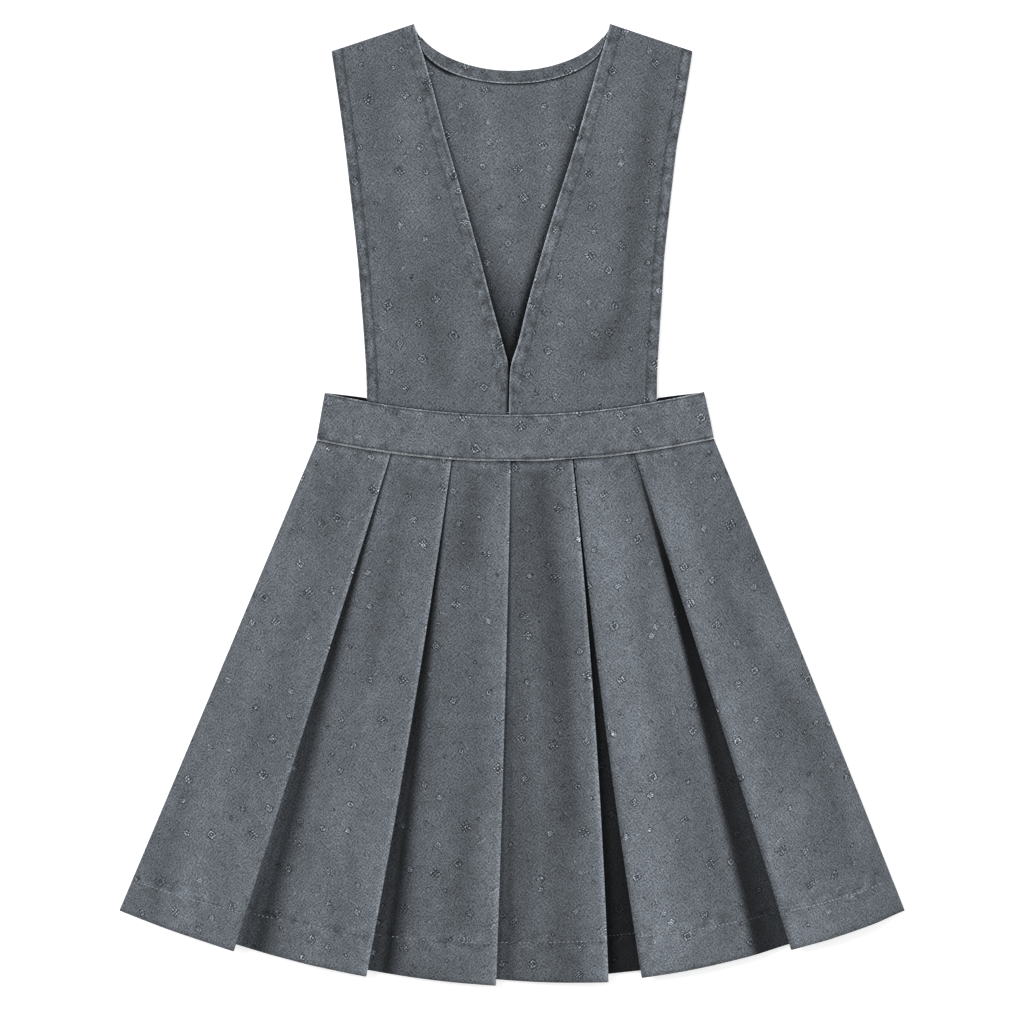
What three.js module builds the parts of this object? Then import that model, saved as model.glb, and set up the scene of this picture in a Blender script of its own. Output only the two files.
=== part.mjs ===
// A child's sleeveless pinafore dress, lying flat on its back with its front up.
// Millimetres. X runs across the dress, Y from the hem to the shoulders and Z up from the table.
// The origin is on the table, under the middle of the dress.

import * as THREE from 'three';

const { lerp, smoothstep } = THREE.MathUtils;

// Driving dimensions
const dressLength = 702;
const shoulderHalfWidth = 132;
const shoulderSlope = 20;
const neckHalfWidth = 71.7;
const backNeckDepth = 34.4;
const waistbandDepth = 33;
const hemHalfWidth = 287;
const clothThickness = 1.1;
const bandThickness = 2.4;
const seamGap = 0.3;

// Levels worked out from them
const shoulderTop = dressLength / 2;
const layerPitch = clothThickness + seamGap;
const pleatStack = 2 * layerPitch;
const restingMiddle = clothThickness / 2;
const secondLayer = restingMiddle + layerPitch;
const frontBottomLayer = restingMiddle + pleatStack + layerPitch;
const frontTopLayer = frontBottomLayer + pleatStack;

// The waistband: both edges dip towards the middle, and it widens downwards
const bandTop = { middleY: 64.5, rise: 17, riseAt: 140, leftX: -136.7, rightX: 140.3 };
const bandBottom = {
  middleY: bandTop.middleY - waistbandDepth,
  rise: 16,
  riseAt: 145,
  leftX: -142.6,
  rightX: 147.5,
};
const backBandShows = 1.8;
const bandMiddle = { topEdge: 5.4, bottomEdge: 7.5, side: 3.9 };
const bandSideCurve = 8;

// The skirt
const hem = { middleY: -shoulderTop + 1.9, rise: 52, dip: 1.9 };
const backHemInset = 1.2;
const turnSteps = 4;
const climbSteps = 5;
const crownSteps = 3;
const frontRows = 13;
const backSkirtRows = 7;
const backSettles = 16;
const tuckRoom = 2.2;

// One row for each folded edge of the front, from left to right. It points right or left, lies at waistX and
// hemX, swells sideways by bow halfway down, and at the hem its panel stands lift above its pressed height.
const frontFolds = [
  { points: 'right', waistX: -88.3, hemX: -202.2, bow: 0, lift: 9, waistTuck: 18, hemTuck: 32 },
  { points: 'right', waistX: -44.0, hemX: -106.0, bow: 1.6, lift: 8, waistTuck: 18, hemTuck: 32 },
  { points: 'right', waistX: -0.9, hemX: -11.8, bow: 0, lift: 6, waistTuck: 18, hemTuck: 30 },
  { points: 'right', waistX: 44.2, hemX: 70.1, bow: 3.4, lift: 8, waistTuck: 18, hemTuck: 28 },
  { points: 'left', waistX: 45.6, hemX: 94.9, bow: -2.4, lift: 8, waistTuck: 18, hemTuck: 30 },
  { points: 'left', waistX: 89.1, hemX: 203.3, bow: 0, lift: 9.5, waistTuck: 18, hemTuck: 32 },
];

// The back is pleated towards its middle and pressed flat, with its folded edges on the table
const backFolds = [
  { points: 'right', waistX: -89, hemX: -203, bow: 0, lift: 0, waistTuck: 18, hemTuck: 30 },
  { points: 'right', waistX: -45, hemX: -107, bow: 0, lift: 0, waistTuck: 18, hemTuck: 30 },
  { points: 'right', waistX: -0.7, hemX: -4, bow: 0, lift: 0, waistTuck: 18, hemTuck: 30 },
  { points: 'left', waistX: 0.7, hemX: 4, bow: 0, lift: 0, waistTuck: 18, hemTuck: 30 },
  { points: 'left', waistX: 45, hemX: 107, bow: 0, lift: 0, waistTuck: 18, hemTuck: 30 },
  { points: 'left', waistX: 89, hemX: 203, bow: 0, lift: 0, waistTuck: 18, hemTuck: 30 },
];

// The bodice fronts, from the shoulder to the waist: the armhole edge and the V edge, which becomes the slit
const armholeHem = 7.5;
const neckHem = 9.5;
const hemStep = 0.6;
const hemRaise = 0.5;
const bodiceRows = 18;
const leftFront = [
  { armX: -shoulderHalfWidth, armY: shoulderTop - shoulderSlope, neckX: -neckHalfWidth, neckY: shoulderTop },
  { armX: -126.5, armY: 294, neckX: -59.5, neckY: 309.5 },
  { armX: -121.7, armY: 258.4, neckX: -47.5, neckY: 264 },
  { armX: -116.7, armY: 214.6, neckX: -33.5, neckY: 216 },
  { armX: -113, armY: 181, neckX: -23.5, neckY: 180 },
  { armX: -110.6, armY: 152.6, neckX: -14.5, neckY: 145 },
  { armX: -108.4, armY: 124.8, neckX: -6.2, neckY: 115 },
  { armX: -106.6, armY: 97, neckX: -2.7, neckY: 98 },
  { armX: -106, armY: 74.9, neckX: -3.4, neckY: 64.8 },
];
const rightFront = [
  { armX: shoulderHalfWidth, armY: shoulderTop - shoulderSlope, neckX: neckHalfWidth, neckY: shoulderTop },
  { armX: 125.7, armY: 291, neckX: 60, neckY: 310 },
  { armX: 120, armY: 258.4, neckX: 47, neckY: 265 },
  { armX: 115, armY: 214.6, neckX: 31, neckY: 214 },
  { armX: 111.4, armY: 181, neckX: 20.8, neckY: 180 },
  { armX: 109.7, armY: 152.6, neckX: 11.8, neckY: 147.5 },
  { armX: 107.8, armY: 124.8, neckX: 4.6, neckY: 118 },
  { armX: 106.2, armY: 97, neckX: -1.2, neckY: 98 },
  { armX: 105.8, armY: 74.5, neckX: -2.2, neckY: 64.8 },
];
const frontSwell = 4.2;
const neckLift = 5;
const neckLiftReach = 34;

// Soft troughs in the fronts: a line from one end to the other, how wide it is and how deep
const frontTroughs = [
  { fromX: 107, fromY: 322, toX: 88, toY: 170, width: 9, depth: 1.1 },
  { fromX: 88, fromY: 170, toX: 64, toY: 106, width: 9, depth: 1.3 },
  { fromX: -56, fromY: 150, toX: -48, toY: 86, width: 10, depth: 0.9 },
];

// The bodice back
const backArmholeInset = 0.8;
const necklinePower = 0.62;
const backRows = 9;
const shoulderColumns = 5;
const necklineColumns = 9;

// The facing round the back of the neck: where it starts on the neckline and where its lower edge is
const facingRows = [
  { neckX: 0, edgeX: 0, edgeY: 307.6 },
  { neckX: 14, edgeX: 15, edgeY: 308.3 },
  { neckX: 28, edgeX: 31, edgeY: 311.2 },
  { neckX: 41, edgeX: 46.4, edgeY: 316.6 },
  { neckX: 51, edgeX: 57, edgeY: 323 },
  { neckX: 58, edgeX: 63.2, edgeY: 329 },
  { neckX: 63, edgeX: 66.2, edgeY: 335.5 },
  { neckX: 66.5, edgeX: 68, edgeY: 341.3 },
];

const greyCloth = () => new THREE.MeshStandardMaterial({ color: 0x60656b, roughness: 0.95, metalness: 0 });

// A curve in an edge of the waistband or the hem, highest at the sides
function dippingEdge(edge, x) {
  return edge.middleY + edge.rise * (x / edge.riseAt) ** 2;
}

function hemEdge(x) {
  return hem.middleY + hem.rise * (x / hemHalfWidth) ** 2;
}

function span(count, from, to) {
  return Array.from({ length: count }, (_, k) => lerp(from, to, k / (count - 1)));
}

// The direction that leans equally on the cloth before and after a point of a line of points
function tangent(before, here, after) {
  const sum = new THREE.Vector3();
  if (before) sum.add(here.clone().sub(before).normalize());
  if (after) sum.add(after.clone().sub(here).normalize());
  return sum.normalize();
}

// The way the cloth's right side faces at a grid point, and how much longer a mitre is there than the wall
function facingAt(grid, row, column) {
  const here = grid[row][column];
  const before = grid[row][column - 1];
  const after = grid[row][column + 1];
  const down = tangent(grid[row - 1]?.[column], here, grid[row + 1]?.[column]);
  const across = tangent(before, here, after);
  const normal = down.clone().cross(across).normalize();
  const stretch = (after ?? here).clone().sub(after ? here : before).normalize();
  const flat = down.cross(stretch).normalize();
  return { normal, mitre: 1 / Math.max(0.5, normal.dot(flat)) };
}

// A closed wall of cloth round a grid of points in its middle, rows from top to bottom and columns from left
// to right. Its right side can be raised by an amount for each column.
function clothWall(name, grid, thickness = clothThickness, raise = () => 0) {
  const rows = grid.length;
  const columns = grid[0].length;
  const positions = [];
  for (const side of [1, -1]) {
    for (let row = 0; row < rows; row++) {
      for (let column = 0; column < columns; column++) {
        const { normal, mitre } = facingAt(grid, row, column);
        const reach = (thickness / 2) * mitre + (side > 0 ? raise(column) : 0);
        const point = grid[row][column].clone().addScaledVector(normal, side * reach);
        positions.push(point.x, point.y, point.z);
      }
    }
  }
  const right = (row, column) => row * columns + column;
  const wrong = (row, column) => (rows + row) * columns + column;
  const indices = [];
  const quad = (a, b, c, d) => indices.push(a, b, c, a, c, d);
  for (let row = 0; row < rows - 1; row++) {
    for (let column = 0; column < columns - 1; column++) {
      const corners = [[row, column], [row + 1, column], [row + 1, column + 1], [row, column + 1]];
      quad(...corners.map((corner) => right(...corner)));
      quad(...corners.reverse().map((corner) => wrong(...corner)));
    }
  }
  for (let column = 0; column < columns - 1; column++) {
    const last = rows - 1;
    quad(right(0, column), right(0, column + 1), wrong(0, column + 1), wrong(0, column));
    quad(right(last, column + 1), right(last, column), wrong(last, column), wrong(last, column + 1));
  }
  for (let row = 0; row < rows - 1; row++) {
    const last = columns - 1;
    quad(right(row + 1, 0), right(row, 0), wrong(row, 0), wrong(row + 1, 0));
    quad(right(row, last), right(row + 1, last), wrong(row + 1, last), wrong(row, last));
  }
  const geometry = new THREE.BufferGeometry();
  geometry.setAttribute('position', new THREE.Float32BufferAttribute(positions, 3));
  geometry.setIndex(indices);
  geometry.computeVertexNormals();
  const mesh = new THREE.Mesh(geometry, greyCloth());
  mesh.name = name;
  return mesh;
}

// Points round half a turn of folded cloth. They keep how far up the pleat they are, from 0 to 1.
function halfTurn(x, z, fromDegrees, toDegrees, up) {
  return span(turnSteps + 1, fromDegrees, toDegrees).map((degrees) => {
    const angle = THREE.MathUtils.degToRad(degrees);
    const radius = layerPitch / 2;
    return { x: x + radius * Math.cos(angle), z: z + radius * Math.sin(angle), up };
  });
}

// How a panel stands up, from the last fold (share 0) to its own edge (share 1): those that point right rise
// to a crisp edge, and those that point left roll down to a soft one
function foldRise(points, share) {
  if (points === 'right') return 0.24 * smoothstep(share, 0, 0.3) + 0.76 * share ** 3;
  return smoothstep(share, 0, 0.3) - 0.55 * smoothstep(share, 0.62, 1);
}

// Across the skirt from a low start, up the panel, over its edge that points right, and back under it
function foldPointingRight(start, fold, level, settles) {
  const noseX = fold.x - fold.tuck;
  const clearX = noseX - tuckRoom;
  const crestX = fold.x - layerPitch / 2 - clothThickness / 2;
  const crestZ = level.top + fold.lift * foldRise(fold.points, 1);
  const climb = Math.min(clearX - start.x, settles);
  const path = [];
  for (let step = 0; step < climbSteps; step++) {
    const part = step / climbSteps;
    const z = lerp(start.z, level.top, smoothstep(part, 0, 1));
    path.push({ x: start.x + climb * part, z, up: lerp(start.up, 0.7, part) });
  }
  for (let step = 0; step < crownSteps; step++) {
    const part = step / crownSteps;
    path.push({ x: lerp(clearX, crestX, part), z: level.top, up: lerp(0.7, 1, part) });
  }
  for (const point of path) {
    const share = (point.x - start.x) / (crestX - start.x);
    point.z += fold.lift * foldRise(fold.points, share);
  }
  path.push(...halfTurn(crestX, crestZ - layerPitch / 2, 90, -90, 1));
  path.push(...halfTurn(noseX, level.bottom + layerPitch / 2, 90, 270, 0));
  return path;
}

const mirrored = (thing) => ({ ...thing, x: -thing.x });

// The whole line of the cloth across the skirt, at the waist or at the hem
function skirtLine(folds, atHem, level, sides, settles) {
  const placed = folds.map((fold) => ({
    ...fold,
    x: atHem ? fold.hemX : fold.waistX,
    tuck: atHem ? fold.hemTuck : fold.waistTuck,
    lift: atHem ? fold.lift : 0,
  }));
  const under = (fold) => ({ x: fold.x, z: level.bottom, up: 0 });
  return placed.flatMap((fold, k) => {
    const before = k === 0 ? { x: sides[0], z: level.side, up: 0.5 } : under(placed[k - 1]);
    const after = k === placed.length - 1 ? { x: sides[1], z: level.side, up: 0.5 } : under(placed[k + 1]);
    if (fold.points === 'right') {
      return foldPointingRight(before, fold, level, settles).map((point) => ({ ...point, bow: fold.bow }));
    }
    const turned = foldPointingRight(mirrored(after), mirrored(fold), level, settles);
    return turned.map((point) => ({ ...mirrored(point), bow: fold.bow })).reverse();
  });
}

// One side of the skirt: every point of the waist line runs straight to its own point of the hem line, but
// for the bow of its fold
function skirtGrid(folds, level, inset, settles, rows, toHeight) {
  const waistSides = [bandBottom.leftX + inset, bandBottom.rightX - inset];
  const hemSides = [-hemHalfWidth + inset, hemHalfWidth - inset];
  const waist = skirtLine(folds, false, level, waistSides, settles);
  const floor = skirtLine(folds, true, level, hemSides, settles);
  return span(rows, 0, 1).map((down) => waist.map((top, k) => {
    const low = floor[k];
    const topY = dippingEdge(bandBottom, top.x) - seamGap;
    const lowY = hemEdge(low.x) + hem.dip * (1 - 2 * low.up) + inset;
    const bow = low.bow * 4 * down * (1 - down);
    return new THREE.Vector3(
      lerp(top.x, low.x, down) + bow,
      lerp(topY, lowY, down),
      toHeight(lerp(top.z, low.z, down)),
    );
  }));
}

function skirtFront() {
  const level = { bottom: frontBottomLayer, top: frontTopLayer, side: secondLayer };
  return clothWall('skirt_front', skirtGrid(frontFolds, level, 0, Infinity, frontRows, (z) => z));
}

// The back is the same construction turned over, so its edges lie on the table
function skirtBack() {
  const level = { bottom: 0, top: pleatStack, side: pleatStack };
  const onTable = (z) => restingMiddle + pleatStack - z;
  const grid = skirtGrid(backFolds, level, backHemInset, backSettles, backSkirtRows, onTable);
  return clothWall('skirt_back', grid);
}

// How far a point is from a trough's line, turned into how deep the trough is there
function troughDepth(trough, x, y) {
  const from = new THREE.Vector2(trough.fromX, trough.fromY);
  const along = new THREE.Vector2(trough.toX, trough.toY).sub(from);
  const point = new THREE.Vector2(x, y).sub(from);
  const part = THREE.MathUtils.clamp(point.dot(along) / along.lengthSq(), 0, 1);
  const away = point.sub(along.multiplyScalar(part)).length();
  return trough.depth * Math.exp(-((away / trough.width) ** 2));
}

// How high the middle of a bodice front lies: on the back at the shoulder, on the seams at the waist
function frontHeight(x, y, across, down, fromNeck) {
  const waist = lerp(bandMiddle.topEdge - 0.6, secondLayer + 1, (Math.abs(x) / shoulderHalfWidth) ** 2);
  const lying = lerp(secondLayer, waist, smoothstep(down, 0.4, 1));
  const swell = frontSwell * Math.sin(Math.PI * across) * Math.sin(Math.PI * down);
  const troughs = frontTroughs.reduce((sum, trough) => sum + troughDepth(trough, x, y), 0);
  const towardsNeck = Math.exp(-((fromNeck / neckLiftReach) ** 2));
  const open = neckLift * towardsNeck * Math.sin(Math.PI * Math.min(1, down * 1.06));
  return lying + Math.max(0, swell - troughs * Math.sin(Math.PI * across)) + open;
}

// Where the columns stand across a front: close together at the step of each turned edge
function acrossStations(width) {
  const inner = span(6, armholeHem + hemStep, width - neckHem - hemStep);
  return [0, armholeHem, ...inner, width - neckHem, width];
}

function bodiceFront(name, edges) {
  const armhole = new THREE.CatmullRomCurve3(edges.map((row) => new THREE.Vector3(row.armX, row.armY, 0)));
  const neck = new THREE.CatmullRomCurve3(edges.map((row) => new THREE.Vector3(row.neckX, row.neckY, 0)));
  const grid = span(bodiceRows, 0, 1).map((down) => {
    const from = armhole.getPoint(down);
    const to = neck.getPoint(down);
    const width = from.distanceTo(to);
    return acrossStations(width).map((station) => {
      const across = station / width;
      const point = from.clone().lerp(to, across);
      const chord = lerp(edges.at(-1).armY, edges.at(-1).neckY, across);
      point.y += down ** 4 * (dippingEdge(bandTop, point.x) + seamGap - chord);
      point.z = frontHeight(point.x, point.y, across, down, width - station);
      return point;
    });
  });
  const fromLeft = edges[0].armX < edges[0].neckX;
  const last = grid[0].length - 1;
  return clothWall(
    name,
    fromLeft ? grid : grid.map((row) => row.reverse()),
    clothThickness,
    (column) => (column <= 1 || column >= last - 1 ? hemRaise : 0),
  );
}

function necklineY(x) {
  const roundness = (1 - (x / neckHalfWidth) ** 2) ** necklinePower;
  return shoulderTop - backNeckDepth * roundness;
}

// The armhole's place at a height, on the left or the right
const armholeRows = leftFront.map((row, k) => ({
  y: row.armY,
  x: (rightFront[k].armX - row.armX) / 2 - backArmholeInset,
}));

function armholeX(y) {
  const found = armholeRows.findIndex((row, k) => k > 0 && y >= row.y);
  const k = found < 0 ? armholeRows.length - 1 : found;
  const above = armholeRows[k - 1];
  const below = armholeRows[k];
  return lerp(below.x, above.x, (y - below.y) / (above.y - below.y));
}

// The top edge of the back, from the left shoulder round the neckline to the right shoulder
function backTopEdge() {
  const corner = shoulderTop - shoulderSlope;
  const neckShare = neckHalfWidth / armholeX(shoulderTop);
  const shoulder = span(shoulderColumns, 1, neckShare).map((share) => ({
    share,
    y: lerp(corner, shoulderTop, (1 - share) / (1 - neckShare)),
  }));
  const round = span(necklineColumns, Math.PI / 2, 0).slice(1).map((angle) => {
    const x = neckHalfWidth * Math.sin(angle);
    const y = necklineY(x);
    return { share: x / armholeX(y), y };
  });
  const left = [...shoulder, ...round].map((point) => ({ ...point, share: -point.share }));
  const right = [...shoulder, ...round].reverse().slice(1);
  return [...left, ...right];
}

function bodiceBack() {
  const top = backTopEdge();
  const grid = span(backRows, 0, 1).map((down) => top.map(({ share, y }) => {
    const bottom = dippingEdge(bandTop, share * armholeRows.at(-1).x) + backBandShows + seamGap;
    const height = lerp(y, bottom, down);
    return new THREE.Vector3(share * armholeX(height), height, restingMiddle);
  }));
  return clothWall('bodice_back', grid);
}

function backNeckFacing() {
  const half = facingRows.map((row) => ({ ...row, neckY: necklineY(row.neckX) }));
  const other = half.slice(1).reverse().map((row) => ({ ...row, neckX: -row.neckX, edgeX: -row.edgeX }));
  const rows = [...other, ...half];
  const neckEdge = rows.map((row) => new THREE.Vector3(row.neckX, row.neckY, secondLayer));
  const lowerEdge = rows.map((row) => new THREE.Vector3(row.edgeX, row.edgeY, secondLayer));
  return clothWall('back_neck_facing', [neckEdge, lowerEdge]);
}

// A side of the waistband, as a grid from its top edge to its bottom edge
function waistband(name, inset, topShows, height) {
  const grid = span(4, 0, 1).map((down) => span(25, 0, 1).map((across) => {
    const topX = lerp(bandTop.leftX + inset, bandTop.rightX - inset, across);
    const lowX = lerp(bandBottom.leftX + inset, bandBottom.rightX - inset, across);
    const topY = dippingEdge(bandTop, topX) + topShows;
    const lowY = dippingEdge(bandBottom, lowX);
    const x = lerp(topX, lowX, down);
    return new THREE.Vector3(x, lerp(topY, lowY, down), height(x, down));
  }));
  return clothWall(name, grid, bandThickness);
}

function waistbandFront() {
  return waistband('waistband_front', 0, 0, (x, down) => {
    const middle = lerp(bandMiddle.topEdge, bandMiddle.bottomEdge, down);
    return lerp(middle, bandMiddle.side, Math.min(1, (Math.abs(x) / bandBottom.riseAt) ** bandSideCurve));
  });
}

function waistbandBack() {
  return waistband('waistband_back', 0.4, backBandShows, () => bandThickness / 2);
}

const dress = new THREE.Group();
dress.add(bodiceBack());
dress.add(backNeckFacing());
dress.add(bodiceFront('bodice_front_left', leftFront));
dress.add(bodiceFront('bodice_front_right', rightFront));
dress.add(waistbandBack());
dress.add(waistbandFront());
dress.add(skirtBack());
dress.add(skirtFront());

export default dress;
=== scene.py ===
"""A child's grey pinafore dress, lying flat on its back on a pale floor, seen from straight above."""

import math
import random

import bmesh
import bpy
import numpy as np
from mathutils import Matrix, Vector, noise
from mathutils.bvhtree import BVHTree


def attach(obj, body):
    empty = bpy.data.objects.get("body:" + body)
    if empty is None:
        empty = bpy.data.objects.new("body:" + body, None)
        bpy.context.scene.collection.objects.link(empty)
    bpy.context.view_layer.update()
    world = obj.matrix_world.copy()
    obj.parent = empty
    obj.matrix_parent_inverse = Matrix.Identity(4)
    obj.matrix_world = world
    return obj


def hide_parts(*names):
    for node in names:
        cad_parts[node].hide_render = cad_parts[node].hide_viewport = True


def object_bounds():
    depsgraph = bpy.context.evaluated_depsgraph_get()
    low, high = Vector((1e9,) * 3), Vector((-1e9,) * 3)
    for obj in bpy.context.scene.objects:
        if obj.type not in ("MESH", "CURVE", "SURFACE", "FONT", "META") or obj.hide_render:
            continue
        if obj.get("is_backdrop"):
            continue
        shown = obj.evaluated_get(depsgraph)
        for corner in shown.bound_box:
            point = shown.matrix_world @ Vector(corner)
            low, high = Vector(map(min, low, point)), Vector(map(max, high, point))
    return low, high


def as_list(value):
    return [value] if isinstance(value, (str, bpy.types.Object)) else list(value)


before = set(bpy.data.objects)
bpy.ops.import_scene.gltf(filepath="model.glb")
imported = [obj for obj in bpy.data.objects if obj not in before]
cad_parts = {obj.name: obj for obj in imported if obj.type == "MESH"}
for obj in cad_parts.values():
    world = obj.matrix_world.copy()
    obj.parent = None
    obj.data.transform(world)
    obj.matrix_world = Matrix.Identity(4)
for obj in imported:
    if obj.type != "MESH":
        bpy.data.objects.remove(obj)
cad_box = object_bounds()

# Lengths below are in millimetres and become metres when a mesh is made
MM = 0.001

# Driving sizes
DRESS_LENGTH = 702
SHOULDER_HALF_WIDTH = 132
SHOULDER_SLOPE = 20
NECK_HALF_WIDTH = 71.7
BACK_NECK_DEPTH = 34.4
NECKLINE_POWER = 0.62
WAISTBAND_DEPTH = 33
BODICE_WAIST_HALF_WIDTH = 106
BAND_PAST_BODICE = 31
BACK_WAIST_HALF_WIDTH = 105.1
SKIRT_LENGTH = 385
HEM_HALF_WIDTH = 287
CLOTH = 1.1
BAND = 2.4
SEAM_GAP = 0.3
ARMHOLE_INSET = 0.8
SHOULDER_TOP = DRESS_LENGTH / 2

# How deep the pleats are tucked at the waist, and the room beside their inner folds
WAIST_TUCK = 18
TUCK_ROOM = 2.2

# The weave's repeat, the spacing of the figures and the thick yarns in it, and the length of a stitch
TWILL_REPEAT = 2.9
FIGURE_SPACING = 23.2
SLUB_SPACING = 30
STITCH_LENGTH = 2.1

# Heights of the cloth's middle, layer on layer
LAYER = CLOTH + SEAM_GAP
STACK = 2 * LAYER
ON_TABLE = CLOTH / 2
SECOND_LAYER = ON_TABLE + LAYER
FRONT_BOTTOM = ON_TABLE + STACK + LAYER
FRONT_TOP = FRONT_BOTTOM + STACK

# The waistband's edges dip towards the middle, and it widens downwards
BAND_TOP = {"middle_y": 65.0, "rise": 17, "rise_at": 140, "left": -136.7, "right": 140.3}
BAND_LOW = {"middle_y": 64.5 - WAISTBAND_DEPTH, "rise": 16, "rise_at": 145, "left": -142.6, "right": 147.5}
BAND_MIDDLE = {"top_edge": 5.4, "low_edge": 7.5, "side": 3.9}
BACK_BAND_SHOWS = 1.8

# The hem dips too, and turns up inside the skirt
HEM = {"middle_y": 1.9 - SHOULDER_TOP, "rise": 52, "dip": 1.9}
HEM_TURN_UP = 29
BACK_INSET = 1.2

# The folded edges of the front, left to right: the way each points, where it lies at the waist and the hem,
# how far it bows sideways, how high it stands and how deep it is tucked at the hem, and how it ripples
FRONT_FOLDS = [
    {"points": "right", "waist": -88.3, "hem": -202.2, "bow": 0.2, "lift": 9.0, "tuck": 32, "ripple": 0.9},
    {"points": "right", "waist": -44.0, "hem": -106.0, "bow": 2.4, "lift": 8.0, "tuck": 32, "ripple": 0.6},
    {"points": "right", "waist": -0.9, "hem": -11.6, "bow": 0.8, "lift": 3.4, "tuck": 30, "ripple": 0.5},
    {"points": "right", "waist": 44.3, "hem": 70.3, "bow": 3.2, "lift": 8.0, "tuck": 28, "ripple": 0.7},
    {"points": "left", "waist": 45.2, "hem": 94.5, "bow": -2.6, "lift": 8.0, "tuck": 30, "ripple": 0.8},
    {"points": "left", "waist": 89.1, "hem": 203.3, "bow": 1.0, "lift": 9.5, "tuck": 32, "ripple": 0.9},
]

# The cloth beside each of them, as painted light and shade. Its painted dark zone: how wide it is at the
# hem, how that grows on the way down, how soft its far side is, and how dark it is beside the edge and at
# the far side, higher up and lower down. The painted highlight along the edge itself, at the waist and at
# the hem, painted shade where below 0; the painted light over its panel, near the edge and away from it,
# darker where below 0; and the painted light on the cloth under the edge, at the waist and further down
UNSHADED = {"width": 0, "grows": 1, "blur": 0.3, "edge": (0, 0), "far": (0, 0), "under": (0, 0)}
FRONT_SHADES = [
    {"width": 24, "grows": 1.2, "blur": 0.95, "edge": (0.75, 0.0), "far": (0.85, 0.86), "line": (4.2, 0.3),
     "panel": (0.05, 0.0), "under": (0.0, 0.9)},
    {"width": 20.5, "grows": 1.25, "blur": 0.85, "edge": (0.8, 0.1), "far": (0.9, 0.95), "line": (3.8, 2.6),
     "panel": (0.2, -0.05), "under": (0.3, 0.0)},
    {"width": 13, "grows": 1.3, "blur": 0.6, "edge": (0.25, 0.1), "far": (0.2, 0.42), "line": (3.4, 3.0),
     "panel": (0.26, -0.32), "under": (0.0, 0.7)},
    {**UNSHADED, "line": (4.2, 4.0), "panel": (0.2, -0.46)},
    {**UNSHADED, "line": (-0.45, -0.3), "panel": (0.3, 0.12)},
    {"width": 27.5, "grows": 1.05, "blur": 0.32, "edge": (1.0, 0.76), "far": (1.0, 0.9), "line": (-0.4, -0.4),
     "panel": (0.5, -0.02), "under": (0.0, 0.0)},
]

# The back's folded edges are pressed flat and point to its middle
BACK_FOLDS = [
    {
        "points": way, "waist": side * waist, "hem": side * hem,
        "bow": 0, "lift": 0, "tuck": 30, "ripple": 0,
    }
    for way, side, waist, hem in (
        ("right", -1, 89, 203), ("right", -1, 45, 107), ("right", -1, 0.7, 4),
        ("left", 1, 0.7, 4), ("left", 1, 45, 107), ("left", 1, 89, 203),
    )
]

# The bodice fronts from the shoulder to the waist: the armhole edge, then the V edge and the slit under it
ARMHOLE_HEM = 8.3
NECK_HEM = 9.5
SLIT_TOP = 106
LEFT_FRONT = [
    {"arm": (-SHOULDER_HALF_WIDTH, SHOULDER_TOP - SHOULDER_SLOPE), "neck": (-NECK_HALF_WIDTH, SHOULDER_TOP)},
    {"arm": (-126.5, 294), "neck": (-59.5, 309.5)},
    {"arm": (-121.7, 258.4), "neck": (-47.5, 264)},
    {"arm": (-116.7, 214.6), "neck": (-33.5, 216)},
    {"arm": (-113, 181), "neck": (-23.5, 180)},
    {"arm": (-110.6, 152.6), "neck": (-14.5, 145)},
    {"arm": (-108.4, 124.8), "neck": (-6.2, 115)},
    {"arm": (-106.6, 97), "neck": (-2.7, 98)},
    {"arm": (-106, 74.9), "neck": (-3.4, 64.8)},
]
RIGHT_FRONT = [
    {"arm": (SHOULDER_HALF_WIDTH, SHOULDER_TOP - SHOULDER_SLOPE), "neck": (NECK_HALF_WIDTH, SHOULDER_TOP)},
    {"arm": (125.7, 291), "neck": (60, 310)},
    {"arm": (120, 258.4), "neck": (47, 265)},
    {"arm": (115, 214.6), "neck": (31, 214)},
    {"arm": (111.4, 181), "neck": (20.8, 180)},
    {"arm": (109.7, 152.6), "neck": (11.8, 147.5)},
    {"arm": (107.8, 124.8), "neck": (4.6, 118)},
    {"arm": (106.2, 97), "neck": (-1.2, 98)},
    {"arm": (105.8, 74.5), "neck": (-2.2, 64.8)},
]

# The facing's outline: a place on the neckline and the point of its lower edge under it
FACING = [
    {"neck_x": 0, "edge": (0, 307.6)},
    {"neck_x": 14, "edge": (15, 308.3)},
    {"neck_x": 28, "edge": (31, 311.2)},
    {"neck_x": 41, "edge": (46.4, 316.6)},
    {"neck_x": 51, "edge": (57, 323)},
    {"neck_x": 58, "edge": (63.2, 329)},
    {"neck_x": 63, "edge": (66.2, 335.5)},
    {"neck_x": 66.5, "edge": (68, 341.3)},
]

# Soft creases, given one by one: the line each follows, its width, and its height, below 0 for a trough
FRONT_CREASES = [
    {"line": [(107, 323), (90, 192), (84, 139), (66, 108)], "width": 9, "height": -1.3},
    {"line": [(78, 300), (68, 228), (62, 178)], "width": 11, "height": 0.7},
    {"line": [(98, 128), (90, 84)], "width": 8, "height": -0.6},
    {"line": [(40, 150), (30, 84)], "width": 9, "height": 0.6},
    {"line": [(20, 128), (14, 82)], "width": 6, "height": -0.5},
    {"line": [(-103, 318), (-94, 250)], "width": 8, "height": -0.7},
    {"line": [(-74, 290), (-62, 205)], "width": 11, "height": 0.7},
    {"line": [(-88, 212), (-80, 140)], "width": 9, "height": -0.8},
    {"line": [(-62, 152), (-48, 84)], "width": 10, "height": -1.0},
    {"line": [(-28, 136), (-36, 82)], "width": 8, "height": 0.5},
    {"line": [(-98, 118), (-90, 82)], "width": 7, "height": 0.4},
]
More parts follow.
